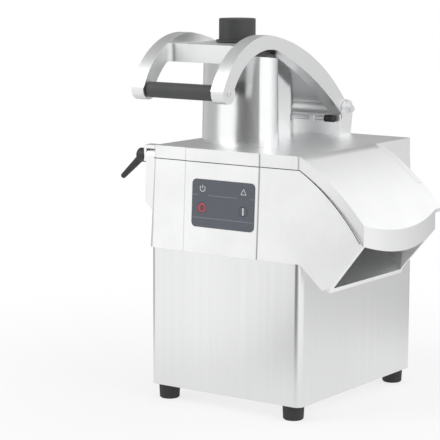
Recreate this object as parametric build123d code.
"""Tabletop vegetable slicer: a belt-driven disc machine with a kidney hopper and a lever press.

Millimetres, +Z up, +X to the outlet side, +Y to the back. The pieces are drawn about the middle
of the cabinet's footprint and moved as they are written, so that the frame's origin lies on the
bench under the middle of the whole machine.
"""
import os
from math import acos, atan2, cos, degrees, radians, sin, tan

from build123d import *

# Cabinet
BODY_W = 300.0
BODY_D = 362.0
BODY_H = 235.0
BODY_CORNER_R = 12.0
SHEET_T = 1.5
FLANGE_W = 26.0
BASE_PLATE_T = 3.0
REAR_DOOR_MARGIN = 26.0
REAR_LAP = 12.0
LOUVRE_ROWS = 8
LOUVRE_W = 80.0
LOUVRE_H = 4.0
LOUVRE_PITCH = 14.0

# Feet
FOOT_H = 25.0
FOOT_R = 18.0
FOOT_TIP_R = 16.5
FOOT_INSET_X = 25.0
FOOT_INSET_Y = 21.0
FOOT_WELL_R = 8.0
FOOT_WELL_DEPTH = 12.0

# Head castings
CAST_T = 5.0
HEAD_INSET = 6.0
HEAD_INSET_Y = 3.0
HEAD_H = 150.0
HEAD_DRAFT = 7.5
HEAD_BOSS_R = 9.6
LID_H = 21.0
PANEL_LEFT = 78.0
PANEL_RIGHT = 68.0
PANEL_PROUD = 1.5

# Cutting chamber and discs
DISC_R = 102.5
CHAMBER_CLEARANCE = 2.0
CHAMBER_DEPTH = 52.0
LEFT_WALL_T = 4.5
SPINDLE_Y = -14.0
EJECTOR_GAP = 4.0
EJECTOR_T = 3.0
EJECTOR_MARGIN = 2.5
VANE_H = 28.0
VANE_T = 4.0
VANE_BOW = 24.0
HUB_R = 20.0
SLICER_T = 3.0
SLICER_BELOW_LID = 7.5
BLADE_T = 1.2
BLADE_W = 15.0
BLADE_LIFT = 1.8
BLADE_BOW = 17.0
THROAT_W = 11.0

# Outlet chute
CHUTE_REACH = 131.0
COVER_DROP = 118.0
COVER_BULGE = 10.0
SEAM_DROP = 133.0
SEAM_BULGE = 12.0
LIP_BULGE = 12.0
COVER_BACK = 72.0
COVER_NOTCH = 56.0
LIP_END = 52.0
NOTCH_END = 226.0
RAMP_TIP_X = 206.0
RAMP_TIP_Z = 227.0
RAMP_FOOT_X = 65.0
CHEEK_TIP_DROP = 37.0
CHEEK_TIP_X = 194.0
SEAM_GAP = 0.4

# Kidney hopper
HOPPER_R = 104.0
HOPPER_TOP_DRAFT = 2.5
HOPPER_WALL = 5.5
LOBE_R = 32.0
LOBE_ANGLE = 84.0
BITE_R = 25.0
BITE_CENTRE = 25.0
BITE_RETREAT = 22.0
BITE_FACING = 23.0
RIM_H = 150.0
RIM_FALL = 12.0
RIM_BEND_Y = 0.0
RIM_BEND_R = 106.0

# Lever, press and pusher
PIVOT_INSET = 18.0
PIVOT_Z = 476.0
BARREL_R = 16.0
AXLE_R = 6.0
AXLE_FIT = 0.1
LEVER_RIGHT = 20.5
LEVER_SPAN = 184.0
ARM_W = 25.0
LEVER_TAPER = 30.5
GRIP_REACH = 15.0
GRIP_Z = 525.0
GRIP_BOSS_R = 17.0
GRIP_R = 13.0
GRIP_ROD_R = 5.0
ARCH_TOP_Y = -79.0
ARCH_TOP_Z = 614.0
ARCH_BAND = 25.5
ARCH_REAR_Y = 128.0
ARCH_REAR_DROP = 39.5
UNDER_REAR_Y = 131.0
UNDER_REAR_DROP = 77.0
WEB_TOP_Z = 598.0
WEB_T = 6.0
WEB_FRONT = -139.0
FLANGE_DROP = 30.0
BRIDGE_FILLET = 12.0
KNOB_X = -71.0
KNOB_Y = -41.0
TUBE_R = 33.0
TUBE_BORE_R = 30.2
PUSHER_R = 29.5
PUSHER_WALL = 3.5
KNOB_R = 31.0
KNOB_H = 39.0
PLATE_T = 7.0
PLATE_CLEARANCE = 4.5
PLATE_RELIEF = 17.0
PLATE_ABOVE_LID = 3.0
EAR_T = 5.7
EAR_GAP = 0.5
BRACKET_INSET = 10.0
BRACKET_D = 37.0
CROSS_H = 36.0
STOP_BAR_R = 4.5

# Lid hinge and clamp
HINGE_BEHIND = 9.0
HINGE_PIN_R = 4.0
KNUCKLE_R = 8.5
KNUCKLE_W = 22.0
HINGE_X = 95.0
HINGE_GAP = 0.5
CLAMP_INSET = 30.0
CLAMP_BOSS_W = 24.0
CLAMP_BOSS_OUT = 28.0
CLAMP_HUB_R = 12.0
CLAMP_HUB_L = 17.0
CLAMP_ARM = 62.0
CLAMP_TILT = 42.0
CLAMP_TIP_R = 4.5
CLAMP_SPINDLE_R = 5.0
CLAMP_ROOT_R = 7.0
TAB_T = 5.0
TAB_GAP = 0.5
TAB_W = 21.0
TAB_LOW = 400.0

# Drive
SHAFT_R = 10.0
BEARING_R = 23.5
BEARING_W = 14.0
RACE_T = 4.0
PULLEY_R = 74.0
PULLEY_W = 20.0
MOTOR_PULLEY_R = 19.0
BELT_T = 3.0
BELT_GAP = 0.3
MOTOR_SIDE = 95.0
MOTOR_BACK = 87.0
MOTOR_R = 58.0
MOTOR_H = 150.0
MOTOR_SHAFT_R = 7.0
MOTOR_PLATE_T = 4.0
FIN_COUNT = 20
PILLARS_LEFT = 113.0
PILLARS_RIGHT = 63.0
PILLARS_BACK = 64.0
PILLARS_FRONT = 36.0
PILLARS_STEP = 20.0

# Control panel
OVERLAY_W = 123.0
OVERLAY_H = 79.0
OVERLAY_T = 1.2
OVERLAY_R = 8.0
OVERLAY_DROP = 67.5
KEY_R = 8.0
KEY_T = 2.6
KEY_GAP = 0.5
KEY_SPREAD = 81.0
KEY_DROP = 7.5
KEY_TRAVEL = 1.0
BOARD_GAP = 3.0
SWITCH_H = 1.2

# Rear inlet
GLAND_SIDE = 55.0
GLAND_Z = 62.0
GLAND_R = 10.0
GLAND_BORE_R = 4.0
GLAND_OUT = 20.0

# Electronics box
CASE_W = 75.0
CASE_D = 110.0
CASE_H = 70.0
CASE_WALL = 3.0
CASE_SIDE = 20.0
CASE_BACK = 31.0

# Worked out from the sizes above
HEAD_Z = FOOT_H + BODY_H
SEAM_Z = HEAD_Z + HEAD_H
LID_Z = SEAM_Z + LID_H
HEAD_X = BODY_W / 2 - HEAD_INSET
HEAD_Y = BODY_D / 2 - HEAD_INSET_Y
DRAFT_ANGLE = degrees(atan2(HEAD_DRAFT, HEAD_H))
CHAMBER_R = DISC_R + CHAMBER_CLEARANCE
SPINDLE_X = -HEAD_X + LEFT_WALL_T + CHAMBER_R
PIVOT_Y = BODY_D / 2 - PIVOT_INSET
GRIP_Y = -BODY_D / 2 - GRIP_REACH
BRACKET_BACK = BODY_D / 2 - BRACKET_INSET
BRACKET_FRONT = BRACKET_BACK - BRACKET_D
HINGE_Y = BODY_D / 2 + HINGE_BEHIND
CLAMP_Y = -BODY_D / 2 + CLAMP_INSET
MOTOR_X = BODY_W / 2 - MOTOR_SIDE
MOTOR_Y = BODY_D / 2 - MOTOR_BACK
GLAND_X = -BODY_W / 2 + GLAND_SIDE
FLOOR_Z = SEAM_Z - CHAMBER_DEPTH
EJECTOR_Z = FLOOR_Z + EJECTOR_GAP
SLICER_Z = LID_Z - CAST_T - SLICER_BELOW_LID
LIP_X = HEAD_X + CHUTE_REACH
RIM_Z = LID_Z + RIM_H
PLATE_Z = LID_Z + PLATE_ABOVE_LID
LEVER_LEFT = LEVER_RIGHT - LEVER_SPAN
LEVER_REAR_LEFT = LEVER_LEFT + LEVER_TAPER
EAR_RIGHT = LEVER_RIGHT + EAR_GAP
EAR_LEFT = LEVER_REAR_LEFT - EAR_GAP
HINGE_Z = SEAM_Z - 5.0
CLAMP_Z = SEAM_Z - 1.0
CLAMP_FACE_X = -HEAD_X - CLAMP_BOSS_OUT
HUB_FACE_X = CLAMP_FACE_X - 2 * TAB_GAP - TAB_T
HUB_END_X = HUB_FACE_X - CLAMP_HUB_L
CLAMP_TIP_X = (HUB_END_X + HUB_FACE_X) / 2 - CLAMP_ARM * cos(radians(CLAMP_TILT))
HOUSING_Z = FLOOR_Z - CAST_T
PULLEY_Z = HOUSING_Z - 74.0
MOTOR_TOP = PULLEY_Z - 12.0
REAR_FACE = BODY_D / 2 + SHEET_T
FRAME_X = (LIP_X + CLAMP_TIP_X - CLAMP_TIP_R) / 2
FRAME_Y = (GRIP_Y - GRIP_BOSS_R + REAR_FACE + GLAND_OUT) / 2
FRAME = Location((-FRAME_X, -FRAME_Y, 0))


def save(node, *solids):
    """Write one named piece, or a group of like pieces, in the machine's frame."""
    placed = [solid.moved(FRAME) for solid in solids]
    shape = placed[0] if len(placed) == 1 else Compound(children=placed)
    export_step(shape, f"parts/{node}.step")


def block(x0, x1, y0, y1, z0, z1):
    """Box between two opposite corners."""
    middle = Pos((x0 + x1) / 2, (y0 + y1) / 2, (z0 + z1) / 2)
    return middle * Box(x1 - x0, y1 - y0, z1 - z0)


def bar(axis, radius, start, end, a, b):
    """Round bar along X, Y or Z from start to end, at the two other coordinates a and b."""
    length, middle = end - start, (start + end) / 2
    if axis == "X":
        return Pos(middle, a, b) * Rot(0, 90, 0) * Cylinder(radius, length)
    if axis == "Y":
        return Pos(a, middle, b) * Rot(90, 0, 0) * Cylinder(radius, length)
    return Pos(a, b, middle) * Cylinder(radius, length)


def turned(profile, x=SPINDLE_X, y=SPINDLE_Y):
    """Solid of revolution about a vertical axis, from radius and height pairs."""
    face = make_face(Polyline(*[(r, 0, z) for r, z in profile], close=True))
    return Pos(x, y, 0) * revolve(face, Axis.Z)


def side_prism(wire_parts, x0, x1):
    """Prism along X of a closed outline drawn in the YZ plane at X = 0."""
    return extrude(make_face(Wire(wire_parts)), x1 - x0, dir=(1, 0, 0)).moved(Location((x0, 0, 0)))


def front_prism(wire_parts, y0, y1):
    """Prism along Y of a closed outline drawn in the XZ plane at Y = 0."""
    return extrude(make_face(Wire(wire_parts)), y1 - y0, dir=(0, 1, 0)).moved(Location((0, y0, 0)))


def plan_prism(points, z0, z1):
    """Prism along Z of a closed polygon of X and Y pairs."""
    return Pos(0, 0, z0) * extrude(make_face(Polyline(*points, close=True)), z1 - z0, dir=(0, 0, 1))


def bowed(start, end, bulge):
    """Arc between two points, its middle moved by bulge towards +Z or +Y from the chord."""
    start, end = Vector(start), Vector(end)
    chord = end - start
    if abs(chord.X) < abs(chord.Y) and abs(chord.Z) < 1e-9:
        side = Vector(abs(chord.Y), -chord.X * (1 if chord.Y > 0 else -1), 0).normalized()
    else:
        side = Vector(-chord.Z, 0, chord.X).normalized()
    return ThreePointArc(start, start + chord * 0.5 + side * bulge, end)


def rounded_plate(width, depth, z0, z1, radius):
    """Upright block with rounded corners, centred on the cabinet's axis."""
    return Pos(0, 0, z0) * extrude(RectangleRounded(width, depth, radius), z1 - z0)


def joined(first, *rest):
    """Union of several solids."""
    for other in rest:
        first = first + other
    return first


# Cabinet

def corner_places(inset_x, inset_y):
    """The four places set in from the cabinet's sides."""
    x, y = BODY_W / 2 - inset_x, BODY_D / 2 - inset_y
    return [(-x, -y), (x, -y), (-x, y), (x, y)]


def door_size():
    """Half width, bottom and top of the opening in the cabinet's back."""
    half = BODY_W / 2 - REAR_DOOR_MARGIN
    return half, FOOT_H + REAR_DOOR_MARGIN, HEAD_Z - REAR_DOOR_MARGIN


def body_wrap():
    """Sheet steel wrap with folded flanges and an opening in its back."""
    half, low, high = door_size()
    wrap = rounded_plate(BODY_W, BODY_D, FOOT_H, HEAD_Z, BODY_CORNER_R)
    wrap -= rounded_plate(BODY_W - 2 * SHEET_T, BODY_D - 2 * SHEET_T, FOOT_H + SHEET_T,
                          HEAD_Z - SHEET_T, BODY_CORNER_R - SHEET_T)
    wrap -= rounded_plate(BODY_W - 2 * FLANGE_W, BODY_D - 2 * FLANGE_W, FOOT_H - 1, HEAD_Z + 1,
                          BODY_CORNER_R)
    wrap -= block(-half, half, BODY_D / 2 - 2 * SHEET_T, BODY_D / 2 + 1, low, high)
    for x, y in corner_places(FOOT_INSET_X, FOOT_INSET_Y):
        wrap -= bar("Z", 3.3, FOOT_H - 1, FOOT_H + SHEET_T + 1, x, y)
    for x, y in corner_places(FLANGE_W / 2 + 2, FLANGE_W / 2 + 2):
        wrap -= bar("Z", 3.3, HEAD_Z - SHEET_T - 1, HEAD_Z + 1, x, y)
    for x, z in door_screw_places():
        wrap -= bar("Y", 2.1, BODY_D / 2 - 2 * SHEET_T, BODY_D / 2 + 1, x, z)
    return wrap


def door_screw_places():
    """Six screws round the rear door."""
    half, low, high = door_size()
    x, edge = half + REAR_LAP / 2, REAR_LAP / 2
    return [(sx * x, z) for sx in (-1, 1) for z in (low - edge, (low + high) / 2, high + edge)]


def rear_panel():
    """Louvred rear door, lapped over the opening."""
    half, low, high = door_size()
    door = block(-half - REAR_LAP, half + REAR_LAP, BODY_D / 2, REAR_FACE, low - REAR_LAP,
                 high + REAR_LAP)
    door = fillet(door.edges().filter_by(Axis.Y), REAR_LAP / 2)
    for column in (-1, 1):
        for row in range(LOUVRE_ROWS):
            x = column * (LOUVRE_W / 2 + 10)
            z = high - 24 - row * LOUVRE_PITCH
            slot = block(x - LOUVRE_W / 2, x + LOUVRE_W / 2, BODY_D / 2 - 1, REAR_FACE + 1,
                         z - LOUVRE_H / 2, z + LOUVRE_H / 2)
            door -= slot
    for x, z in door_screw_places():
        door -= bar("Y", 2.1, BODY_D / 2 - 1, REAR_FACE + 1, x, z)
    return door - bar("Y", GLAND_R - 2, BODY_D / 2 - 1, REAR_FACE + 1, GLAND_X, GLAND_Z)


def panel_screws():
    """Pan head screws of the rear door."""
    return [bar("Y", 4.0, REAR_FACE, REAR_FACE + 2.4, x, z)
            + bar("Y", 2.0, BODY_D / 2 - 6, REAR_FACE, x, z) for x, z in door_screw_places()]


def base_plate():
    """Bottom plate resting on the folded flange, with cooling slots."""
    z0 = FOOT_H + SHEET_T
    gap = SHEET_T + 0.2
    plate = rounded_plate(BODY_W - 2 * gap, BODY_D - 2 * gap, z0, z0 + BASE_PLATE_T,
                          BODY_CORNER_R - gap)
    for x, y in corner_places(FOOT_INSET_X, FOOT_INSET_Y):
        plate -= bar("Z", 3.1, z0 - 1, z0 + BASE_PLATE_T + 1, x, y)
    for row in range(-3, 4):
        plate -= block(-60, 60, row * 16 - 3, row * 16 + 3, z0 - 1, z0 + BASE_PLATE_T + 1)
    return plate


def rubber_feet():
    """Tapered rubber feet with a well for the screw's head."""
    profile = [(3.2, FOOT_WELL_DEPTH), (3.2, FOOT_H), (FOOT_R, FOOT_H), (FOOT_TIP_R + 0.4, 2),
               (FOOT_TIP_R - 1.6, 0), (FOOT_WELL_R, 0), (FOOT_WELL_R, FOOT_WELL_DEPTH)]
    return [turned(profile, x, y) for x, y in corner_places(FOOT_INSET_X, FOOT_INSET_Y)]


def foot_screws():
    """Screws that hold the feet, with their nuts on the bottom plate."""
    top = FOOT_H + SHEET_T + BASE_PLATE_T
    profile = [(0, FOOT_WELL_DEPTH - 4), (5.2, FOOT_WELL_DEPTH - 4), (5.2, FOOT_WELL_DEPTH),
               (3.0, FOOT_WELL_DEPTH), (3.0, top), (5.0, top), (5.0, top + 4.5), (0, top + 4.5)]
    return [turned(profile, x, y) for x, y in corner_places(FOOT_INSET_X, FOOT_INSET_Y)]


# Lines shared by the lid's chute cover and the lower casting

def cover_top(drop=0.0):
    """Upper outline of the chute cover in XZ, lowered by drop."""
    start = (HEAD_X, 0, LID_Z - drop)
    return bowed(start, (LIP_X + 2, 0, LID_Z - COVER_DROP - drop), COVER_BULGE)


def seam_line(drop=0.0):
    """Curved parting line between the cover and the lower casting in XZ."""
    start = (HEAD_X, 0, SEAM_Z - drop)
    return bowed(start, (LIP_X + 2, 0, SEAM_Z - SEAM_DROP - drop), SEAM_BULGE)


def closed(*edges):
    """Edges joined end to end by straight lines into a closed outline."""
    parts = []
    for edge, following in zip(edges, edges[1:] + edges[:1]):
        parts.append(edge)
        gap = (following @ 0) - (edge @ 1)
        if gap.length > 1e-6:
            parts.append(Line(edge @ 1, following @ 0))
    return parts


def front_slope():
    """Y of the casting's drafted front face as points at its top and its bottom."""
    return [(0, -HEAD_Y, SEAM_Z), (0, -HEAD_Y - HEAD_DRAFT, HEAD_Z)]


def front_skin(thickness, x0, x1, low, outward=0.0):
    """Slab that lies in the drafted front face, from the parting line down to low."""
    slope = HEAD_DRAFT / HEAD_H
    y_top = -HEAD_Y - outward
    y_low = y_top - slope * (SEAM_Z - low)
    points = [(0, y_top, SEAM_Z), (0, y_low, low), (0, y_low + thickness, low),
              (0, y_top + thickness, SEAM_Z)]
    return side_prism(Polyline(*points, close=True).edges(), x0, x1)


# Lower casting

def chamber_plan(offset=0.0):
    """Plan of the cutting chamber: a circle that opens towards the chute, as a face."""
    round_part = Pos(SPINDLE_X, SPINDLE_Y) * Circle(CHAMBER_R + offset)
    end = 31.5
    shoulder = (SPINDLE_X + CHAMBER_R * cos(radians(end)), SPINDLE_Y + CHAMBER_R * sin(radians(end)))
    low = SPINDLE_Y - CHAMBER_R - offset
    mouth = make_face(Polyline((SPINDLE_X, low), (RAMP_FOOT_X + 2, low),
                               (RAMP_FOOT_X + 2, shoulder[1] + offset),
                               (shoulder[0], shoulder[1] + offset), (SPINDLE_X, SPINDLE_Y),
                               close=True))
    return round_part + mouth


def chute_plan(offset=0.0, reach=0.0):
    """Plan of the chute between its cheeks, from the chamber to beyond the lip."""
    front = -HEAD_Y + CAST_T - offset - reach
    back = SPINDLE_Y + CHAMBER_R * sin(radians(31.5)) + offset
    chamber_front = SPINDLE_Y - CHAMBER_R - offset
    return [(RAMP_FOOT_X - 6, chamber_front), (RAMP_FOOT_X + 12, front), (LIP_X + 12, front),
            (LIP_X + 12, back + 13), (RAMP_TIP_X, back - 2), (RAMP_FOOT_X - 6, back)]


def ramp_points(drop):
    """Line of the ramp in XZ, lowered by drop, from the chamber floor to the outlet edge."""
    return [(RAMP_FOOT_X, 0, FLOOR_Z - drop), (RAMP_TIP_X, 0, RAMP_TIP_Z - drop)]


def lower_shell():
    """Drafted box of the lower casting, open below, with its raised front panel."""
    outer = Pos(0, 0, HEAD_Z) * extrude(
        RectangleRounded(2 * (HEAD_X + HEAD_DRAFT), 2 * (HEAD_Y + HEAD_DRAFT), BODY_CORNER_R),
        HEAD_H, taper=DRAFT_ANGLE)
    shell = outer + front_skin(PANEL_PROUD + 1, -PANEL_LEFT, PANEL_RIGHT, HEAD_Z, PANEL_PROUD)
    inner = Pos(0, 0, HEAD_Z) * extrude(
        RectangleRounded(2 * (HEAD_X + HEAD_DRAFT - CAST_T), 2 * (HEAD_Y + HEAD_DRAFT - CAST_T),
                         BODY_CORNER_R - CAST_T), HEAD_H - CAST_T, taper=DRAFT_ANGLE)
    return shell - inner


def cheek_zone(corner, inner_x):
    """Side outline of a cheek in XZ: under the seam, before the slanted outlet edge."""
    seam = seam_line(SEAM_GAP)
    below = (LIP_X + 2, 0, FOOT_H)
    under = front_prism([seam, Line(seam @ 1, below), Line(below, (HEAD_X, 0, FOOT_H)),
                         Line((HEAD_X, 0, FOOT_H), seam @ 0)], -BODY_D, BODY_D)
    under += block(inner_x, HEAD_X, -BODY_D, BODY_D, FOOT_H, SEAM_Z)
    edge_x = LIP_X - LIP_BULGE - 1
    outline = [(inner_x, 0, LID_Z), (edge_x, 0, LID_Z), (edge_x, 0, SEAM_Z - SEAM_DROP + 20.5),
               (RAMP_TIP_X + 1.5, 0, RAMP_TIP_Z + 1)] + corner
    return under & front_prism(Polyline(*outline, close=True).edges(), -BODY_D, BODY_D)


def chute_cheeks():
    """Rear cheek and ramp, with the front cheek's inner part."""
    drop = CAST_T / cos(radians(43))
    foot, tip = ramp_points(drop)
    corner = [tip, foot, (RAMP_FOOT_X - 6, 0, FLOOR_Z - drop)]
    plan = plan_prism(chute_plan(CAST_T, HEAD_DRAFT + CAST_T), 0, LID_Z)
    behind = front_skin(BODY_D, RAMP_FOOT_X - 2 * CAST_T, LIP_X + 3, FOOT_H, -CAST_T / 2)
    return cheek_zone(corner, RAMP_FOOT_X - 6) & plan & behind


def front_cheek():
    """Front wall of the chute, in one plane with the casting's front."""
    tip = (CHEEK_TIP_X, 0, HEAD_Z - CHEEK_TIP_DROP)
    corner = [tip, (HEAD_X + HEAD_DRAFT - 1, 0, HEAD_Z), (HEAD_X - 30, 0, HEAD_Z)]
    plate = cheek_zone(corner, HEAD_X - 30)
    plate &= front_skin(CAST_T, HEAD_X - 40, LIP_X + 3, HEAD_Z - CHEEK_TIP_DROP - 5)
    rounded = plate.edges().filter_by(lambda e: abs(e.tangent_at(0.5).Y) > 0.9)
    return fillet(rounded.sort_by_distance(tip)[0], 6)


def rear_cheek_top():
    """Strip of the lower casting that shows beside the cover's back edge."""
    high, low = cover_top(), cover_top(CAST_T + 1)
    strip = front_prism([high, Line(high @ 1, low @ 1), low, Line(low @ 0, high @ 0)],
                        COVER_NOTCH + SEAM_GAP, COVER_BACK)
    seam, seam_low = seam_line(SEAM_GAP), seam_line(SEAM_GAP + CAST_T)
    shelf = front_prism([seam, Line(seam @ 1, seam_low @ 1), seam_low,
                         Line(seam_low @ 0, seam @ 0)], COVER_NOTCH - 4 * CAST_T,
                        COVER_BACK)
    wall = front_prism([high, Line(high @ 1, seam_low @ 1), seam_low,
                        Line(seam_low @ 0, high @ 0)], COVER_NOTCH + SEAM_GAP,
                       COVER_NOTCH + SEAM_GAP + CAST_T)
    limit = block(HEAD_X + SEAM_GAP, NOTCH_END - SEAM_GAP, 0, HEAD_Y, FOOT_H, LID_Z)
    root = block(HEAD_X - CAST_T, HEAD_X + 2 * CAST_T, COVER_NOTCH + SEAM_GAP, COVER_BACK,
                 SEAM_Z - 4 * CAST_T, SEAM_Z - CAST_T)
    return ((strip + wall + shelf) & limit) + root


def bearing_bolt_places():
    """Bolt circle of the bearing housing."""
    return [(SPINDLE_X + 41 * cos(radians(a)), SPINDLE_Y + 41 * sin(radians(a)))
            for a in (45, 135, 225, 315)]


def motor_pillars():
    """Cast pillars that carry the motor plate."""
    left, right = MOTOR_X - PILLARS_LEFT, MOTOR_X + PILLARS_RIGHT
    back, front = MOTOR_Y + PILLARS_BACK, MOTOR_Y - PILLARS_FRONT
    return [(left, back), (right, back), (right, front), (left, front + PILLARS_STEP)]


def chamber_casting():
    """Lower head casting: box, cutting chamber, chute with cheeks, hinge and clamp bosses."""
    bowl = Pos(0, 0, HOUSING_Z) * extrude(chamber_plan(CAST_T), SEAM_Z - HOUSING_Z)
    bowl &= block(-HEAD_X, HEAD_X, -HEAD_Y, HEAD_Y, HOUSING_Z, SEAM_Z)
    casting = joined(lower_shell(), bowl, chute_cheeks(), front_cheek(), rear_cheek_top())
    within = block(1 - HEAD_X, HEAD_X - 1, 1 - HEAD_Y, HEAD_Y - 1, HEAD_Z, SEAM_Z - 1)
    for x, y in corner_places(FLANGE_W / 2 + 2, FLANGE_W / 2 + 2):
        casting += bar("Z", HEAD_BOSS_R, HEAD_Z, SEAM_Z - 1, x, y) & within
    for x, y in motor_pillars():
        casting += bar("Z", 7, MOTOR_TOP + MOTOR_PLATE_T, HOUSING_Z + 2, x, y)
        if y > MOTOR_Y or x > MOTOR_X:
            casting += bar("Z", 7, HOUSING_Z, SEAM_Z - 1, x, y)
    chamber = Pos(0, 0, FLOOR_Z) * extrude(chamber_plan(), LID_Z - FLOOR_Z)
    floor = Polyline(*ramp_points(0))
    above = [floor.edges()[0], Line(floor @ 1, (LIP_X + 20, 0, RAMP_TIP_Z - 20)),
             Line((LIP_X + 20, 0, RAMP_TIP_Z - 20), (LIP_X + 20, 0, LID_Z + 1)),
             Line((LIP_X + 20, 0, LID_Z + 1), (RAMP_FOOT_X, 0, LID_Z + 1)),
             Line((RAMP_FOOT_X, 0, LID_Z + 1), floor @ 0)]
    passage = front_prism(above, -HEAD_Y, HEAD_Y)
    passage &= plan_prism(chute_plan(), FOOT_H, LID_Z + 2)
    casting = casting - chamber - passage
    casting -= bar("Z", SHAFT_R + 3, HOUSING_Z - 1, FLOOR_Z + 1, SPINDLE_X, SPINDLE_Y)
    for x, y in bearing_bolt_places():
        casting -= bar("Z", 2.6, HOUSING_Z - 1, HOUSING_Z + 3, x, y)
    casting += joined(*base_knuckles()) + clamp_boss()
    casting -= bar("X", HINGE_PIN_R, -HINGE_X - 40, HINGE_X + 40, HINGE_Y, HINGE_Z)
    return casting - overlay_pocket()


def base_knuckles():
    """Outer hinge knuckles on the back of the lower casting."""
    parts = []
    for side in (-1, 1):
        x0 = side * HINGE_X
        x1 = side * (HINGE_X + KNUCKLE_W)
        x0, x1 = min(x0, x1), max(x0, x1)
        arm = block(x0, x1, HEAD_Y - 3, HINGE_Y, HINGE_Z - KNUCKLE_R - 14, HINGE_Z)
        wedge = Pos(0, HINGE_Y, HINGE_Z - KNUCKLE_R - 14) * Rot(40, 0, 0) * Box(400, 60, 17)
        foot = arm - wedge & block(x0, x1, HEAD_Y - 3, HINGE_Y + KNUCKLE_R, 0, HINGE_Z)
        parts.append(foot + bar("X", KNUCKLE_R, x0, x1, HINGE_Y, HINGE_Z))
    return parts


def clamp_boss():
    """Upright boss on the left wall that carries the clamp's spindle."""
    y0, y1 = CLAMP_Y - CLAMP_BOSS_W / 2, CLAMP_Y + CLAMP_BOSS_W / 2
    points = [(-HEAD_X + 0.5 - 1, 0, SEAM_Z - 0.5), (CLAMP_FACE_X, 0, SEAM_Z - 0.5),
              (CLAMP_FACE_X - 2, 0, SEAM_Z - 78), (-HEAD_X - 3.5, 0, SEAM_Z - 102),
              (-HEAD_X - 3.5, 0, SEAM_Z - 60)]
    rib = front_prism(Polyline(*points, close=True).edges(), y0, y1)
    head = bar("X", CLAMP_BOSS_W / 2, CLAMP_FACE_X, -HEAD_X - 0.5, CLAMP_Y, CLAMP_Z)
    return rib + head - bar("X", CLAMP_SPINDLE_R + 0.1, CLAMP_FACE_X - 1, -HEAD_X - 6, CLAMP_Y,
                            CLAMP_Z)


# Control panel

def overlay_plane():
    """Plane on the outside of the raised front panel, at the overlay's middle."""
    z = SEAM_Z - OVERLAY_DROP
    y = -HEAD_Y - PANEL_PROUD - HEAD_DRAFT * OVERLAY_DROP / HEAD_H
    lean = radians(DRAFT_ANGLE)
    return Plane(origin=(0, y, z), x_dir=(1, 0, 0), z_dir=(0, -cos(lean), sin(lean)))


def key_places():
    """Start and stop keys in the overlay's plane, right and left of its middle."""
    return {"start": (KEY_SPREAD / 2, -KEY_DROP), "stop": (-KEY_SPREAD / 2, -KEY_DROP)}


def overlay_sheet(width, height, radius, depth0, depth1):
    """Rounded sheet in the overlay's plane, between two depths along its normal."""
    plane = overlay_plane()
    face = plane * Pos(0, 0, depth0) * RectangleRounded(width, height, radius)
    return extrude(face, depth1 - depth0, dir=plane.z_dir)


def key_disc(place, radius, depth0, depth1):
    """Round disc in the overlay's plane."""
    plane = overlay_plane()
    face = plane * Pos(place[0], place[1], depth0) * Circle(radius)
    return extrude(face, depth1 - depth0, dir=plane.z_dir)


def overlay_pocket():
    """Holes through the casting's front for the keys' plungers."""
    holes = [key_disc(place, KEY_R + 1, -3 * CAST_T, 1) for place in key_places().values()]
    return joined(*holes)


def control_panel():
    """Membrane overlay with openings for the two keys."""
    sheet = overlay_sheet(OVERLAY_W, OVERLAY_H, OVERLAY_R, 0, OVERLAY_T)
    for place in key_places().values():
        sheet -= key_disc(place, KEY_R + KEY_GAP, -1, OVERLAY_T + 1)
    return sheet


def key(name):
    """Key cap with a plunger that reaches through the casting's wall."""
    place = key_places()[name]
    cap = key_disc(place, KEY_R, OVERLAY_T - KEY_T, OVERLAY_T)
    switch_top = -CAST_T - PANEL_PROUD - BOARD_GAP + SWITCH_H
    return cap + key_disc(place, 3.0, switch_top + KEY_TRAVEL + 0.2, OVERLAY_T - KEY_T)


def keypad_board():
    """Circuit board on standoffs behind the front wall, with a switch under each key."""
    back = -CAST_T - PANEL_PROUD - BOARD_GAP
    board = overlay_sheet(OVERLAY_W - 10, OVERLAY_H - 20, 2, back - 1.6, back)
    for x in (-1, 1):
        for y in (-1, 1):
            place = (x * (OVERLAY_W / 2 - 9), y * (OVERLAY_H / 2 - 14))
            board += key_disc(place, 3, back, -CAST_T - PANEL_PROUD)
    for place in key_places().values():
        board += key_disc(place, 3.2, back, back + SWITCH_H)
    return board


# Lid with chute cover and kidney hopper

def kidney(inset=0.0, retreat=0.0):
    """Plan of the hopper: a circle with a rounded bite, drawn inwards by inset."""
    big, lobe, bite = HOPPER_R - inset, LOBE_R - inset, BITE_R + inset
    reach, beta = HOPPER_R - LOBE_R, radians(LOBE_ANGLE)
    lobe_c = Vector(reach * cos(beta), reach * sin(beta))
    bite_c = Vector(BITE_CENTRE + retreat, 0)
    link = bite_c - lobe_c
    flank = atan2(link.Y, link.X) + acos((lobe + bite) / link.length)

    def spot(centre, radius, angle):
        return centre + Vector(radius * cos(angle), radius * sin(angle))

    def mirror(point):
        return Vector(point.X, -point.Y)

    start = spot(Vector(0, 0), big, beta)
    lobe_mid = spot(lobe_c, lobe, (beta + flank) / 2)
    lobe_end = spot(lobe_c, lobe, flank)
    bite_start = bite_c - Vector(bite * cos(flank), bite * sin(flank))
    bite_mid = bite_c - Vector(bite, 0)
    edges = [
        ThreePointArc(mirror(start), Vector(-big, 0), start),
        ThreePointArc(start, lobe_mid, lobe_end),
        Line(lobe_end, bite_start),
        ThreePointArc(bite_start, bite_mid, mirror(bite_start)),
        Line(mirror(bite_start), mirror(lobe_end)),
        ThreePointArc(mirror(lobe_end), mirror(lobe_mid), mirror(start)),
    ]
    return Pos(SPINDLE_X, SPINDLE_Y) * Rot(0, 0, BITE_FACING) * make_face(Wire(edges))


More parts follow.
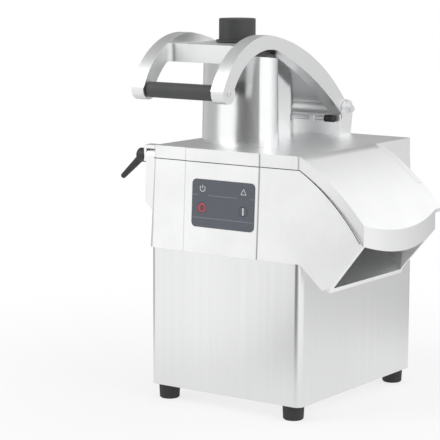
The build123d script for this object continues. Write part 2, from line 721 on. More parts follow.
def kidney_tower(inset, top_inset, z0, z1):
    """Kidney prism whose bite leans back towards the top, so that the press can swing out."""
    return loft([Pos(0, 0, z0) * kidney(inset), Pos(0, 0, z1) * kidney(top_inset, BITE_RETREAT)],
                ruled=True)


def rim_cutter():
    """Space above the hopper's rim, which runs level at the front and falls to the back."""
    front = -HOPPER_R - 40
    slope = RIM_FALL / (RIM_BEND_Y - SPINDLE_Y + HOPPER_R)
    start = Vector(0, front, RIM_Z + slope * (RIM_BEND_Y - front) - RIM_FALL)
    bend = Vector(0, RIM_BEND_Y, RIM_Z - RIM_FALL)
    centre = bend + Vector(0, -slope * RIM_BEND_R, -RIM_BEND_R)
    low = centre + Vector(0, RIM_BEND_R * cos(radians(20)), RIM_BEND_R * sin(radians(20)))
    mid = centre + Vector(0, RIM_BEND_R * cos(radians(55)), RIM_BEND_R * sin(radians(55)))
    arc = ThreePointArc(bend, mid, low)
    far, top = low.Y + 40, RIM_Z + 40
    points = [low, (0, far, low.Z), (0, far, top), (0, front, top), start, bend]
    return side_prism([arc] + list(Polyline(*points).edges()), -2 * HOPPER_R, 2 * HOPPER_R)


def cover_plan(inset=0.0):
    """Plan of the chute cover with its bowed lip, as a face drawn inwards by inset."""
    x_in, x_lip = HEAD_X - 20, LIP_X - LIP_BULGE - inset
    front, lip_end = -HEAD_Y + inset, LIP_END - inset
    lip = ThreePointArc((x_lip, front), (x_lip + LIP_BULGE, (front + lip_end) / 2),
                        (x_lip, lip_end))
    if inset:
        rest = [(x_lip, lip_end), (x_in, lip_end), (x_in, front), (x_lip, front)]
    else:
        rest = [(x_lip, lip_end), (x_lip, COVER_BACK), (NOTCH_END, COVER_BACK),
                (NOTCH_END, COVER_NOTCH), (x_in, COVER_NOTCH), (x_in, front), (x_lip, front)]
    return make_face(Wire([lip] + list(Polyline(*rest).edges())))


def chute_cover():
    """Curved cover over the outlet, hollow below, with an upright lip at its end."""
    top, seam, under = cover_top(), seam_line(0), cover_top(CAST_T + 1)
    skin = front_prism([top, Line(top @ 1, seam @ 1), seam, Line(seam @ 0, top @ 0)],
                       -HEAD_Y, COVER_BACK)
    skin &= Pos(0, 0, FOOT_H) * extrude(cover_plan(), LID_Z)
    low = (LIP_X + 2, 0, FOOT_H)
    hollow = front_prism([under, Line(under @ 1, low), Line(low, (HEAD_X, 0, FOOT_H)),
                          Line((HEAD_X, 0, FOOT_H), under @ 0)], -HEAD_Y, COVER_BACK)
    behind_lip = block(HEAD_X, LIP_X + 2, LIP_END, COVER_BACK, FOOT_H, LID_Z) & hollow
    hollow &= Pos(0, 0, FOOT_H) * extrude(cover_plan(CAST_T), LID_Z)
    return skin - hollow - behind_lip


def lid_casting():
    """Lid: flat top with skirt, chute cover, kidney hopper, clamp tab and hinge knuckles."""
    top = rounded_plate(2 * HEAD_X, 2 * HEAD_Y, SEAM_Z, LID_Z, 4)
    top += block(-PANEL_LEFT, PANEL_RIGHT, -HEAD_Y - PANEL_PROUD, 0, SEAM_Z, LID_Z)
    top -= block(-HEAD_X + CAST_T, HEAD_X - CAST_T, -HEAD_Y + CAST_T, HEAD_Y - CAST_T,
                 SEAM_Z - 1, LID_Z - CAST_T)
    lid = top + chute_cover()
    lid -= block(HEAD_X - 2 * CAST_T, HEAD_X + 1, -HEAD_Y + CAST_T, COVER_NOTCH - CAST_T,
                 SEAM_Z - 1, LID_Z - CAST_T)
    tower = kidney_tower(0, HOPPER_TOP_DRAFT, LID_Z - 1, RIM_Z + 6)
    foot = Pos(0, 0, LID_Z - 1) * extrude(kidney(-3.5), 5, taper=35)
    lid = lid + (tower - rim_cutter()) + foot
    lid -= kidney_tower(HOPPER_WALL, HOPPER_WALL, SEAM_Z, RIM_Z + 7)
    lid = lid + clamp_tab() + joined(*lid_knuckles())
    lid -= bar("X", HINGE_PIN_R + 0.1, -HINGE_X, HINGE_X, HINGE_Y, HINGE_Z)
    for x, y in bracket_screw_places():
        lid -= bar("Z", 2.6, LID_Z - CAST_T - 1, LID_Z + 1, x, y)
    return lid


def lid_knuckles():
    """Inner hinge knuckles on the lid's back edge."""
    parts = []
    for side in (-1, 1):
        ends = sorted((side * (HINGE_X - HINGE_GAP), side * (HINGE_X - HINGE_GAP - KNUCKLE_W)))
        arm = block(ends[0], ends[1], HEAD_Y - 1, HINGE_Y + 2, SEAM_Z + 1, SEAM_Z + 12)
        web = block(ends[0], ends[1], HINGE_Y - 8, HINGE_Y + 2, HINGE_Z, SEAM_Z + 12)
        parts.append(arm + web + bar("X", KNUCKLE_R, ends[0], ends[1], HINGE_Y, HINGE_Z))
    return parts


def hinge_pins():
    """Two hinge pins with flat heads."""
    pins = []
    for side in (-1, 1):
        inner = side * (HINGE_X - HINGE_GAP - KNUCKLE_W - 1)
        outer = side * (HINGE_X + KNUCKLE_W)
        head = side * (HINGE_X + KNUCKLE_W + 3)
        shank = bar("X", HINGE_PIN_R, *sorted((inner, outer)), HINGE_Y, HINGE_Z)
        pins.append(shank + bar("X", HINGE_PIN_R + 2.5, *sorted((outer, head)), HINGE_Y, HINGE_Z))
    return pins


# Clamp

def clamp_lever():
    """Clamping lever: round hub, spindle and a tapered arm that leans down and out."""
    turn_x = (HUB_END_X + HUB_FACE_X) / 2
    lean = radians(CLAMP_TILT)
    place = Plane(origin=(turn_x, CLAMP_Y, CLAMP_Z), z_dir=(-cos(lean), 0, -sin(lean)))
    rod = Pos(0, 0, CLAMP_ARM / 2) * Cone(CLAMP_ROOT_R, CLAMP_TIP_R, CLAMP_ARM)
    rod = fillet(rod.edges().sort_by(Axis.Z)[-1], CLAMP_TIP_R - 0.3)
    hub = bar("X", CLAMP_HUB_R, HUB_END_X, HUB_FACE_X, CLAMP_Y, CLAMP_Z)
    hub = fillet(hub.edges().sort_by(Axis.X)[0], CLAMP_HUB_R / 3)
    spindle = bar("X", CLAMP_SPINDLE_R, HUB_FACE_X, -HEAD_X - 8, CLAMP_Y, CLAMP_Z)
    return hub + rod.moved(place.location) + spindle


def clamp_tab():
    """Lid tab with a slot, open below, that stands over the clamp's spindle."""
    y0, y1 = CLAMP_Y - TAB_W / 2, CLAMP_Y + TAB_W / 2
    x0, x1 = CLAMP_FACE_X - TAB_GAP - TAB_T, CLAMP_FACE_X - TAB_GAP
    top, under = LID_Z - 3, CLAMP_Z + CLAMP_BOSS_W / 2 + 1
    ledge = block(x0, -HEAD_X + 1, y0, y1, under, top)
    tab = block(x0, x1, y0, y1, TAB_LOW, top)
    slot = bar("X", CLAMP_SPINDLE_R + 0.4, x0 - 1, x1 + 1, CLAMP_Y, CLAMP_Z)
    slot += block(x0 - 1, x1 + 1, CLAMP_Y - CLAMP_SPINDLE_R - 0.4,
                  CLAMP_Y + CLAMP_SPINDLE_R + 0.4, TAB_LOW - 1, CLAMP_Z)
    return ledge + (tab - slot)


# Lever bracket on the lid

def bracket_screw_places():
    """Screws through the bracket's foot."""
    y = (BRACKET_FRONT + BRACKET_BACK) / 2 + 2
    return [(EAR_LEFT + 18, y), (EAR_RIGHT - 18, y), ((EAR_LEFT + EAR_RIGHT) / 2, y)]


def lever_bracket():
    """Foot, front cross plate and two tapered ears that carry the lever's axle."""
    left, right = EAR_LEFT - EAR_T, EAR_RIGHT + EAR_T
    foot = block(left, right, BRACKET_FRONT, BRACKET_BACK, LID_Z, LID_Z + 4)
    cross = block(left, right, BRACKET_FRONT, BRACKET_FRONT + 4, LID_Z, LID_Z + CROSS_H)
    lean = (BRACKET_BACK - BRACKET_FRONT) / 2
    ears = []
    for x0, x1 in ((left, EAR_LEFT), (EAR_RIGHT, right)):
        outline = [(0, BRACKET_FRONT, LID_Z), (0, BRACKET_BACK, LID_Z),
                   (0, PIVOT_Y + BARREL_R - 1.5, PIVOT_Z - 2), (0, PIVOT_Y, PIVOT_Z + 1),
                   (0, PIVOT_Y - BARREL_R + 1.5, PIVOT_Z - 2),
                   (0, BRACKET_FRONT, LID_Z + lean)]
        ear = side_prism(Polyline(*outline, close=True).edges(), x0, x1)
        ears.append(ear + bar("X", BARREL_R - 1, x0, x1, PIVOT_Y, PIVOT_Z))
    bracket = joined(foot, cross, *ears)
    bracket -= bar("X", AXLE_R, left - 1, right + 1, PIVOT_Y, PIVOT_Z)
    for x in stop_bar_lugs():
        bracket += block(x - 4, x + 4, BRACKET_FRONT - 2 * STOP_BAR_R - 4, BRACKET_FRONT,
                         stop_bar_z() - STOP_BAR_R - 2, stop_bar_z() + STOP_BAR_R + 1)
    bracket -= bar("X", STOP_BAR_R, left, right, stop_bar_y(), stop_bar_z())
    for x, y in bracket_screw_places():
        bracket -= bar("Z", 2.6, LID_Z - 1, LID_Z + 5, x, y)
    return bracket


def stop_bar_y():
    """The stop bar lies just in front of the cross plate."""
    return BRACKET_FRONT - STOP_BAR_R - 2


def stop_bar_z():
    """The stop bar lies a little under the cross plate's upper edge."""
    return LID_Z + CROSS_H - STOP_BAR_R - 2


def stop_bar_lugs():
    """Lugs on the cross plate that hold the stop bar."""
    return [EAR_LEFT + 40, EAR_RIGHT - 45]


def stop_bar():
    """Steel bar across the bracket, under the lever's arms."""
    return bar("X", STOP_BAR_R, EAR_LEFT + 8, EAR_RIGHT - 8, stop_bar_y(), stop_bar_z())


def stop_buffers():
    """Rubber sleeves pushed on the ends of the stop bar."""
    sleeves = []
    for x0, x1 in ((EAR_LEFT + 2, EAR_LEFT + 20), (EAR_RIGHT - 20, EAR_RIGHT - 2)):
        sleeve = bar("X", STOP_BAR_R + 1.8, x0, x1, stop_bar_y(), stop_bar_z())
        sleeves.append(sleeve - stop_bar())
    return sleeves


def bracket_screws():
    """Screws of the bracket's foot."""
    return [bar("Z", 4.5, LID_Z + 4, LID_Z + 7, x, y)
            + bar("Z", 2.5, LID_Z - CAST_T, LID_Z + 4, x, y) for x, y in bracket_screw_places()]


def lever_axle():
    """Axle through both ears and the lever's barrel, headed on the right."""
    left, right = EAR_LEFT - EAR_T, EAR_RIGHT + EAR_T
    return bar("X", AXLE_R, left - 9, right, PIVOT_Y, PIVOT_Z) + bar(
        "X", AXLE_R - 2, right, right + 9, PIVOT_Y, PIVOT_Z)


def axle_nuts():
    """Dome nut on the right and plain nut on the left end of the axle."""
    left, right = EAR_LEFT - EAR_T, EAR_RIGHT + EAR_T
    hexagon = Rot(0, 90, 0) * extrude(RegularPolygon(7.5, 6), 5)
    near = Pos(right, PIVOT_Y, PIVOT_Z) * hexagon
    near += bar("X", 5.4, right + 5, right + 9, PIVOT_Y, PIVOT_Z)
    near -= bar("X", AXLE_R - 2, right - 1, right + 9, PIVOT_Y, PIVOT_Z)
    wide = Rot(0, 90, 0) * extrude(RegularPolygon(10, 6), 6)
    far = Pos(left - 7, PIVOT_Y, PIVOT_Z) * wide
    far -= bar("X", AXLE_R, left - 10, left, PIVOT_Y, PIVOT_Z)
    return [near, far]


# Lever

def arch_band(band, lift=0.0):
    """Closed side outline of the lever's arm: grip boss, arch and barrel, as prism edges."""
    top = Vector(0, ARCH_TOP_Y, ARCH_TOP_Z - lift)
    front = Vector(0, GRIP_Y - GRIP_BOSS_R, GRIP_Z + 4)
    shoulder = Vector(0, ARCH_TOP_Y - 86, ARCH_TOP_Z - lift - 26)
    rear = Vector(0, PIVOT_Y - 3, PIVOT_Z + BARREL_R - 0.5)
    rear_mid = Vector(0, ARCH_TOP_Y + ARCH_REAR_Y, ARCH_TOP_Z - lift - ARCH_REAR_DROP)
    under_rear = Vector(0, PIVOT_Y - 14, PIVOT_Z - 8)
    under_mid = Vector(0, ARCH_TOP_Y + UNDER_REAR_Y, ARCH_TOP_Z - UNDER_REAR_DROP)
    under_top = Vector(0, ARCH_TOP_Y + 20, ARCH_TOP_Z - band)
    under_front = Vector(0, GRIP_Y + GRIP_BOSS_R - 3, GRIP_Z + 4)
    under_shoulder = Vector(0, ARCH_TOP_Y - 67, ARCH_TOP_Z - band - 19)
    return [ThreePointArc(front, shoulder, top), ThreePointArc(top, rear_mid, rear),
            Line(rear, under_rear), ThreePointArc(under_rear, under_mid, under_top),
            ThreePointArc(under_top, under_shoulder, under_front), Line(under_front, front)]


def lever_plan(x_left, x_right, taper):
    """Plan between two long edges, the left one stepping in by taper towards the back."""
    y_front, y_back = GRIP_Y - 40, PIVOT_Y + 40
    start, end = (x_left, SPINDLE_Y + 35), (x_left + taper, PIVOT_Y - BARREL_R - 20)
    bend = Spline(start, end, tangents=((0, 1), (0, 1)))
    rest = [end, (x_left + taper, y_back), (x_right, y_back), (x_right, y_front),
            (x_left, y_front), start]
    face = make_face(Wire([bend] + list(Polyline(*rest).edges())))
    return Pos(0, 0, LID_Z - 20) * extrude(face, 300)


def press_lever():
    """Cast lever: two arched arms, bridge with its front flange, roof web and barrel."""
    full = side_prism(arch_band(ARCH_BAND), LEVER_LEFT, LEVER_RIGHT)
    outline = lever_plan(LEVER_LEFT, LEVER_RIGHT, LEVER_TAPER)
    window = lever_plan(LEVER_LEFT + ARM_W, LEVER_RIGHT - ARM_W, LEVER_TAPER)
    lever = (full & outline) - window
    in_left, in_right = LEVER_LEFT + ARM_W - 1, LEVER_RIGHT - ARM_W + 1
    for x0, x1 in ((LEVER_LEFT, in_left), (in_right, LEVER_RIGHT)):
        lever += bar("X", GRIP_BOSS_R, x0, x1, GRIP_Y, GRIP_Z)
    lever += roof_web(in_left, in_right) & outline
    lever += bridge_flange(in_left, in_right)
    lever += bar("X", BARREL_R, LEVER_REAR_LEFT, LEVER_RIGHT, PIVOT_Y, PIVOT_Z)
    lever -= bar("X", AXLE_R + AXLE_FIT, LEVER_REAR_LEFT - 1, LEVER_RIGHT + 1, PIVOT_Y, PIVOT_Z)
    lever -= bar("X", GRIP_ROD_R, LEVER_LEFT + 4, LEVER_RIGHT - 4, GRIP_Y, GRIP_Z)
    for x0, x1 in ((LEVER_LEFT - 1, LEVER_LEFT + 5), (LEVER_RIGHT - 5, LEVER_RIGHT + 1)):
        lever -= bar("X", 3.2, x0, x1, GRIP_Y, GRIP_Z)
    return lever - bar("Z", TUBE_BORE_R, WEB_TOP_Z - 40, WEB_TOP_Z + 1, KNOB_X, KNOB_Y)


def roof_web(x0, x1):
    """Web between the arms: level over the hopper, then sloping down to the barrel."""
    bend_y = 0.0
    rear_top = Vector(0, PIVOT_Y - 4, PIVOT_Z + BARREL_R - 2)
    rear_low = Vector(0, PIVOT_Y - 12, PIVOT_Z + 8)
    upper = ThreePointArc((0, bend_y, WEB_TOP_Z), (0, 86, 550), rear_top)
    lower = ThreePointArc(rear_low, (0, 82, 544), (0, bend_y, WEB_TOP_Z - WEB_T))
    points = [(0, bend_y, WEB_TOP_Z - WEB_T), (0, WEB_FRONT, WEB_TOP_Z - WEB_T),
              (0, WEB_FRONT, WEB_TOP_Z), (0, bend_y, WEB_TOP_Z)]
    edges = [upper, Line(rear_top, rear_low), lower] + list(Polyline(*points).edges())
    return side_prism(edges, x0, x1)


def bridge_flange(x0, x1):
    """Front flange of the bridge, with rounded inner corners against the arms."""
    r = BRIDGE_FILLET
    z0, z1 = WEB_TOP_Z - FLANGE_DROP, WEB_TOP_Z
    flange = block(x0, x1, WEB_FRONT - r, WEB_FRONT + WEB_T, z0, z1)
    recess = Pos((x0 + x1) / 2, WEB_FRONT - r, (z0 + z1) / 2) * Box(x1 - x0 - 2, 2 * r, 80)
    recess = fillet(recess.edges().filter_by(Axis.Z).sort_by(Axis.Y)[-2:], r)
    return flange - recess


def hand_grip():
    """Grip sleeve between the arms."""
    x0, x1 = LEVER_LEFT + ARM_W + 0.2, LEVER_RIGHT - ARM_W - 0.2
    sleeve = bar("X", GRIP_R, x0, x1, GRIP_Y, GRIP_Z)
    sleeve = fillet(sleeve.edges(), 1.5)
    return sleeve - bar("X", GRIP_ROD_R, x0 - 1, x1 + 1, GRIP_Y, GRIP_Z)


def grip_rod():
    """Steel rod inside the grip, seated in both arms."""
    return bar("X", GRIP_ROD_R, LEVER_LEFT + 5, LEVER_RIGHT - 5, GRIP_Y, GRIP_Z)


def grip_screws():
    """Screws that hold the rod through both arms."""
    outer = []
    for side, x in ((-1, LEVER_LEFT), (1, LEVER_RIGHT)):
        shank = bar("X", 3.2, *sorted((x - side * 5, x)), GRIP_Y, GRIP_Z)
        head = bar("X", 5.5, *sorted((x, x + side * 2.2)), GRIP_Y, GRIP_Z)
        outer.append(shank + head - bar("X", 2.2, *sorted((x + side * 0.8, x + side * 3)),
                                        GRIP_Y, GRIP_Z))
    return outer


def press_plate():
    """Kidney press plate, trimmed where it has to swing clear of the hopper's bite."""
    wide = extrude(kidney(HOPPER_WALL + PLATE_CLEARANCE), PLATE_T)
    moved = Pos(0, -PLATE_RELIEF, 0) * wide
    plate = Pos(0, 0, PLATE_Z) * (wide & moved)
    return plate - bar("Z", TUBE_BORE_R, PLATE_Z - 1, PLATE_Z + PLATE_T + 1, KNOB_X, KNOB_Y)


def feed_tube():
    """Feed tube from the bridge down to the press plate."""
    top = WEB_TOP_Z - WEB_T
    tube = bar("Z", TUBE_R, PLATE_Z + PLATE_T, top, KNOB_X, KNOB_Y)
    return tube - bar("Z", TUBE_BORE_R, PLATE_Z, top + 1, KNOB_X, KNOB_Y)


def pusher():
    """Hollow pusher that slides in the feed tube, with its knob above the bridge."""
    low, top = PLATE_Z + 2, WEB_TOP_Z + 1.0
    profile = [(0, low), (PUSHER_R, low), (PUSHER_R, top), (TUBE_R, top), (TUBE_R, top + 2),
               (KNOB_R, top + 2), (KNOB_R, top + KNOB_H - 1), (KNOB_R - 1, top + KNOB_H),
               (KNOB_R - 4, top + KNOB_H), (KNOB_R - 4, top + KNOB_H - 4),
               (PUSHER_R - PUSHER_WALL, top + KNOB_H - 4), (PUSHER_R - PUSHER_WALL, low + 4),
               (0, low + 4)]
    return turned(profile, KNOB_X, KNOB_Y)


def pusher_cap():
    """Cap pressed into the top of the pusher."""
    top = WEB_TOP_Z + 1.0 + KNOB_H
    return bar("Z", KNOB_R - 4, top - 4, top - 0.6, KNOB_X, KNOB_Y)


# Spindle

def drive_shaft():
    """Stepped drive shaft with a flat-sided top for the discs."""
    low = PULLEY_Z - 4
    shoulder = HOUSING_Z - 8
    profile = [(0, low), (SHAFT_R - 1, low), (SHAFT_R, low + 1), (SHAFT_R, shoulder),
               (SHAFT_R, EJECTOR_Z), (SHAFT_R - 2, EJECTOR_Z), (SHAFT_R - 2, SLICER_Z + 3),
               (SHAFT_R - 3, SLICER_Z + 4), (0, SLICER_Z + 4)]
    shaft = turned(profile)
    flats = block(SPINDLE_X - 20, SPINDLE_X + 20, SPINDLE_Y + SHAFT_R - 3.5, SPINDLE_Y + 20,
                  EJECTOR_Z + 26, SLICER_Z + 5)
    return shaft - flats


def vane(angle):
    """One curved vane of the ejector, from the hub out to the rim."""
    out = DISC_R - EJECTOR_MARGIN - 2
    spine = ThreePointArc((HUB_R - 1, 4), (out * 0.58, VANE_BOW + 4), (out, 2))
    face = trace(spine, VANE_T)
    wall = Pos(0, 0, EJECTOR_Z + EJECTOR_T - 0.5) * extrude(face, VANE_H + 0.5)
    return Pos(SPINDLE_X, SPINDLE_Y) * Rot(0, 0, angle) * wall


def ejector_disc():
    """Ejector: round plate, hub and two opposite curved vanes."""
    z = EJECTOR_Z
    profile = [(SHAFT_R - 2, z), (DISC_R - EJECTOR_MARGIN, z),
               (DISC_R - EJECTOR_MARGIN, z + EJECTOR_T), (HUB_R, z + EJECTOR_T + 2),
               (HUB_R - 3, z + 22), (SHAFT_R + 2, z + 26), (SHAFT_R - 2, z + 26)]
    disc = joined(turned(profile), vane(0), vane(180))
    return disc - bar("Z", SHAFT_R - 2, z - 1, z + 40, SPINDLE_X, SPINDLE_Y)


def blade_arc(angle, width, bow):
    """Curved strip face for a blade or its throat, turned to its place."""
    spine = ThreePointArc((HUB_R + 8, 0), ((HUB_R + DISC_R) / 2, bow), (DISC_R - 8, 0))
    return Pos(SPINDLE_X, SPINDLE_Y) * Rot(0, 0, angle) * trace(spine, width)


def slicing_disc():
    """Slicing disc with its hub and two curved throats in front of the blades."""
    z = SLICER_Z
    profile = [(SHAFT_R - 2, EJECTOR_Z + 26), (HUB_R - 4, EJECTOR_Z + 26), (HUB_R, z - 6),
               (HUB_R + 4, z), (DISC_R - 2, z), (DISC_R, z + 1), (DISC_R, z + SLICER_T),
               (HUB_R, z + SLICER_T), (HUB_R, z + SLICER_T + 0.4), (SHAFT_R - 2, z + SLICER_T + 0.4)]
    disc = turned(profile)
    for angle in (0, 180):
        throat = Pos(0, 0, z - 1) * extrude(blade_arc(angle - 7, THROAT_W, BLADE_BOW), 6)
        disc -= throat
    return disc


def slicing_blades():
    """Two curved blades that stand a slice's thickness above the disc."""
    z = SLICER_Z + SLICER_T
    blades = []
    for angle in (0, 180):
        blade = Pos(0, 0, z) * extrude(blade_arc(angle + 4, BLADE_W, BLADE_BOW), BLADE_T)
        blades.append(blade)
    return blades


def blade_screws():
    """Three countersunk screws in each blade."""
    z = SLICER_Z + SLICER_T + BLADE_T
    screws = []
    for angle in (0, 180):
        spine = ThreePointArc((HUB_R + 8, 0), ((HUB_R + DISC_R) / 2, BLADE_BOW), (DISC_R - 8, 0))
        for share in (0.2, 0.5, 0.8):
            place = Rot(0, 0, angle + 6) * Pos(*(spine @ share)) * Location((0, 0, 0))
            x, y = place.position.X + SPINDLE_X, place.position.Y + SPINDLE_Y
            screws.append(bar("Z", 2.5, z, z + 0.9, x, y))
    return screws


def disc_nut():
    """Low cap nut that keeps the slicing disc on the shaft."""
    z = SLICER_Z + SLICER_T + 0.4
    profile = [(0, z + 1), (SHAFT_R - 2, z + 1), (SHAFT_R - 2, z), (HUB_R - 5, z),
               (HUB_R - 6, z + 1.9), (0, z + 1.9)]
    return turned(profile)


# Drive

def bearing_housing():
    """Flanged housing under the chamber floor, bored for two bearings."""
    top, low = HOUSING_Z, HOUSING_Z - 50
    wall = BEARING_R + 7
    step = BEARING_R - 3
    profile = [(step, top), (50, top), (50, top - 7), (wall + 4, top - 7),
               (wall, top - 11), (wall, low),
               (BEARING_R, low), (BEARING_R, low + BEARING_W), (step, low + BEARING_W),
               (step, top - 10 - BEARING_W), (BEARING_R, top - 10 - BEARING_W),
               (BEARING_R, top - 10), (step, top - 10)]
    housing = turned(profile)
    for x, y in bearing_bolt_places():
        housing -= bar("Z", 2.6, top - 10, top + 1, x, y)
    return housing


def bearing_levels():
    """Lower faces of the two bearings."""
    return [HOUSING_Z - 50, HOUSING_Z - 10 - BEARING_W]


def bearing_outer_races():
    """Outer races with their shields."""
    races = []
    for z in bearing_levels():
        inner = SHAFT_R + RACE_T + 0.4
        groove = BEARING_R - RACE_T
        profile = [(BEARING_R, z), (BEARING_R, z + BEARING_W), (groove, z + BEARING_W),
                   (groove, z + BEARING_W - 1), (inner, z + BEARING_W - 1),
                   (inner, z + BEARING_W - 2), (groove, z + BEARING_W - 2), (groove, z + 2),
                   (inner, z + 2), (inner, z + 1), (groove, z + 1), (groove, z)]
        races.append(turned(profile))
    return races


def bearing_inner_races():
    """Inner races on the shaft."""
    return [turned([(SHAFT_R, z), (SHAFT_R + RACE_T, z), (SHAFT_R + RACE_T, z + BEARING_W),
                    (SHAFT_R, z + BEARING_W)]) for z in bearing_levels()]


def housing_bolts():
    """Bolts of the bearing housing."""
    z = HOUSING_Z - 7
    return [bar("Z", 4.5, z - 4, z, x, y) + bar("Z", 2.5, z, HOUSING_Z + 2.5, x, y)
            for x, y in bearing_bolt_places()]


def shaft_seal():
    """Lip seal between the shaft and the chamber floor."""
    outer, inner = SHAFT_R + 3, SHAFT_R + 0.3
    profile = [(outer, HOUSING_Z), (outer, FLOOR_Z), (inner, FLOOR_Z), (inner, FLOOR_Z - 1.2),
               (outer - 1.2, FLOOR_Z - 1.2), (outer - 1.2, HOUSING_Z)]
    return turned(profile)


def grooved_rim(radius, z0, width, count):
    """Outline of a ribbed pulley rim from its top to its bottom."""
    pitch = (width - 4) / count
    points = [(radius + 1.5, z0 + width), (radius + 1.5, z0 + width - 1.5)]
    for i in range(count):
        z = z0 + width - 2 - i * pitch
        points += [(radius, z), (radius - 1.8, z - pitch / 2)]
    return points + [(radius, z0 + 2), (radius + 1.5, z0 + 1.5), (radius + 1.5, z0)]


def driven_pulley():
    """Large ribbed pulley with lightening holes."""
    z, w = PULLEY_Z, PULLEY_W
    profile = [(SHAFT_R, z), (SHAFT_R, z + w)] + [(SHAFT_R + 9, z + w), (SHAFT_R + 9, z + w / 2 + 3),
               (PULLEY_R - 9, z + w / 2 + 3), (PULLEY_R - 9, z + w)]
    profile += grooved_rim(PULLEY_R, z, w, 6)
    profile += [(PULLEY_R - 9, z), (PULLEY_R - 9, z + w / 2 - 3), (SHAFT_R + 9, z + w / 2 - 3),
                (SHAFT_R + 9, z)]
    wheel = turned(profile)
    for i in range(5):
        turn = radians(72 * i)
        wheel -= bar("Z", 12, z, z + w, SPINDLE_X + 42 * cos(turn), SPINDLE_Y + 42 * sin(turn))
    return wheel


def drive_pulley():
    """Small ribbed pulley on the motor shaft."""
    z, w = PULLEY_Z, PULLEY_W
    profile = [(MOTOR_SHAFT_R, z), (MOTOR_SHAFT_R, z + w)]
    profile += grooved_rim(MOTOR_PULLEY_R, z, w, 6)
    return turned(profile, MOTOR_X, MOTOR_Y)


def drive_belt():
    """Ribbed belt round both pulleys, as a flat loop clear of their rims."""
    def loop(extra):
        big, small = PULLEY_R + BELT_GAP + extra, MOTOR_PULLEY_R + BELT_GAP + extra
        span = Vector(MOTOR_X - SPINDLE_X, MOTOR_Y - SPINDLE_Y)
        heading = atan2(span.Y, span.X)
        tilt = acos((big - small) / span.length)
        a, b = Vector(SPINDLE_X, SPINDLE_Y), Vector(MOTOR_X, MOTOR_Y)

        def at(centre, radius, angle):
            return centre + Vector(radius * cos(angle), radius * sin(angle))

        edges = [Line(at(a, big, heading + tilt), at(b, small, heading + tilt)),
                 ThreePointArc(at(b, small, heading + tilt), at(b, small, heading),
                               at(b, small, heading - tilt)),
                 Line(at(b, small, heading - tilt), at(a, big, heading - tilt)),
                 ThreePointArc(at(a, big, heading - tilt), at(a, big, heading + radians(180)),
                               at(a, big, heading + tilt))]
        return make_face(Wire(edges))

    band = loop(BELT_T) - loop(0)
    return Pos(0, 0, PULLEY_Z + 2) * extrude(band, PULLEY_W - 4)


def motor_plate():
    """Steel plate under the cast pillars that carries the motor."""
    z0, z1 = MOTOR_TOP, MOTOR_TOP + MOTOR_PLATE_T
    places = motor_pillars()
    centre_x = sum(x for x, _ in places) / len(places)
    centre_y = sum(y for _, y in places) / len(places)
    corners = [(x + (9 if x > centre_x else -9), y + (9 if y > centre_y else -9))
               for x, y in places]
    plate = plan_prism(corners, z0, z1)
    plate = fillet(plate.edges().filter_by(Axis.Z), 8)
    plate -= bar("Z", MOTOR_PULLEY_R + 5, z0 - 1, z1 + 1, MOTOR_X, MOTOR_Y)
    for x, y in places:
        plate -= bar("Z", 3.1, z0 - 1, z1 + 1, x, y)
    return plate


def plate_bolts():
    """Bolts that hold the motor plate to the pillars."""
    return [bar("Z", 5.5, MOTOR_TOP - 4, MOTOR_TOP, x, y)
            + bar("Z", 3.0, MOTOR_TOP, MOTOR_TOP + MOTOR_PLATE_T, x, y)
            for x, y in motor_pillars()]


def motor_housing():
    """Finned motor shell with its two end shields."""
    z0, z1 = MOTOR_TOP - MOTOR_H, MOTOR_TOP
    shell = bar("Z", MOTOR_R - 6, z0, z1, MOTOR_X, MOTOR_Y)
    for i in range(FIN_COUNT):
        fin = Pos(MOTOR_X, MOTOR_Y) * Rot(0, 0, 360 / FIN_COUNT * i) * block(
            MOTOR_R - 8, MOTOR_R, -1.5, 1.5, z0 + 20, z1 - 20)
        shell += fin
    for z in (z0, z1 - 14):
        shell += bar("Z", MOTOR_R, z, z + 14, MOTOR_X, MOTOR_Y)
    shell -= bar("Z", MOTOR_SHAFT_R + 4, z1 - 6, z1 + 1, MOTOR_X, MOTOR_Y)
    return shell - bar("Z", MOTOR_SHAFT_R + 0.1, z1 - 60, z1, MOTOR_X, MOTOR_Y)


def motor_shaft():
    """Motor shaft, seated in the motor and carrying the small pulley."""
    return bar("Z", MOTOR_SHAFT_R, MOTOR_TOP - 59, PULLEY_Z + PULLEY_W + 3, MOTOR_X, MOTOR_Y)


def control_box():
    """Electronics box on the bottom plate."""
    z0 = FOOT_H + SHEET_T + BASE_PLATE_T
    x0, y1 = -BODY_W / 2 + CASE_SIDE, BODY_D / 2 - CASE_BACK
    box = block(x0, x0 + CASE_W, y1 - CASE_D, y1, z0, z0 + CASE_H)
    box = fillet(box.edges().filter_by(Axis.Z), 4)
    return box - block(x0 + CASE_WALL, x0 + CASE_W - CASE_WALL, y1 - CASE_D + CASE_WALL,
                       y1 - CASE_WALL, z0 + CASE_WALL, z0 + CASE_H - CASE_WALL)


def cable_gland():
    """Gland in the rear door: flange, hexagon, dome and inner nut."""
    parts = bar("Y", GLAND_R - 2, BODY_D / 2 - 8, REAR_FACE + 6, GLAND_X, GLAND_Z)
    hexagon = Rot(-90, 0, 0) * extrude(RegularPolygon(GLAND_R + 2, 6), 7)
    parts += Pos(GLAND_X, REAR_FACE, GLAND_Z) * hexagon
    dome = Pos(GLAND_X, REAR_FACE + 7 + 6.5, GLAND_Z) * Rot(-90, 0, 0) * Cone(
        GLAND_R, GLAND_R - 3, GLAND_OUT - 7)
    parts += dome
    inner = Rot(-90, 0, 0) * extrude(RegularPolygon(GLAND_R + 1, 6), 5)
    parts += Pos(GLAND_X, BODY_D / 2 - 5 - 0, GLAND_Z) * inner
    return parts - bar("Y", GLAND_BORE_R, BODY_D / 2 - 12, REAR_FACE + GLAND_OUT + 1, GLAND_X,
                       GLAND_Z)


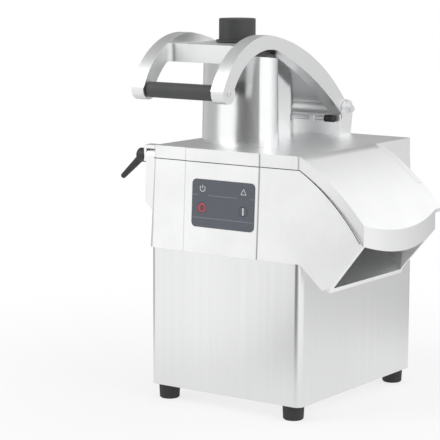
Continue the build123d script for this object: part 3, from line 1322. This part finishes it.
def head_bolts():
    """Bolts from the cabinet's top flange up into the lower casting."""
    z = HEAD_Z - SHEET_T
    return [bar("Z", 5.5, z - 4, z, x, y) + bar("Z", 3.0, z, HEAD_Z, x, y)
            for x, y in corner_places(FLANGE_W / 2 + 2, FLANGE_W / 2 + 2)]


def main():
    """Build and write every piece."""
    os.makedirs("parts", exist_ok=True)
    pieces = {
        "body_wrap": body_wrap(), "rear_panel": rear_panel(), "base_plate": base_plate(),
        "chamber_casting": chamber_casting(), "control_panel": control_panel(),
        "start_key": key("start"), "stop_key": key("stop"), "keypad_board": keypad_board(),
        "lid_casting": lid_casting(), "lever_bracket": lever_bracket(), "stop_bar": stop_bar(),
        "lever_axle": lever_axle(), "press_lever": press_lever(), "hand_grip": hand_grip(),
        "grip_rod": grip_rod(), "press_plate": press_plate(), "feed_tube": feed_tube(),
        "pusher": pusher(), "pusher_cap": pusher_cap(), "clamp_lever": clamp_lever(),
        "drive_shaft": drive_shaft(), "ejector_disc": ejector_disc(),
        "slicing_disc": slicing_disc(), "disc_nut": disc_nut(),
        "bearing_housing": bearing_housing(), "shaft_seal": shaft_seal(),
        "driven_pulley": driven_pulley(), "drive_pulley": drive_pulley(),
        "drive_belt": drive_belt(), "motor_plate": motor_plate(),
        "motor_housing": motor_housing(), "motor_shaft": motor_shaft(),
        "control_box": control_box(), "cable_gland": cable_gland(),
    }
    groups = {
        "panel_screws": panel_screws(), "rubber_feet": rubber_feet(),
        "foot_screws": foot_screws(), "hinge_pins": hinge_pins(),
        "bracket_screws": bracket_screws(), "axle_nuts": axle_nuts(),
        "stop_buffers": stop_buffers(), "grip_screws": grip_screws(),
        "slicing_blades": slicing_blades(), "blade_screws": blade_screws(),
        "bearing_outer_races": bearing_outer_races(),
        "bearing_inner_races": bearing_inner_races(), "housing_bolts": housing_bolts(),
        "plate_bolts": plate_bolts(), "head_bolts": head_bolts(),
    }
    for node, solid in pieces.items():
        save(node, solid)
    for node, solids in groups.items():
        save(node, *solids)


main()
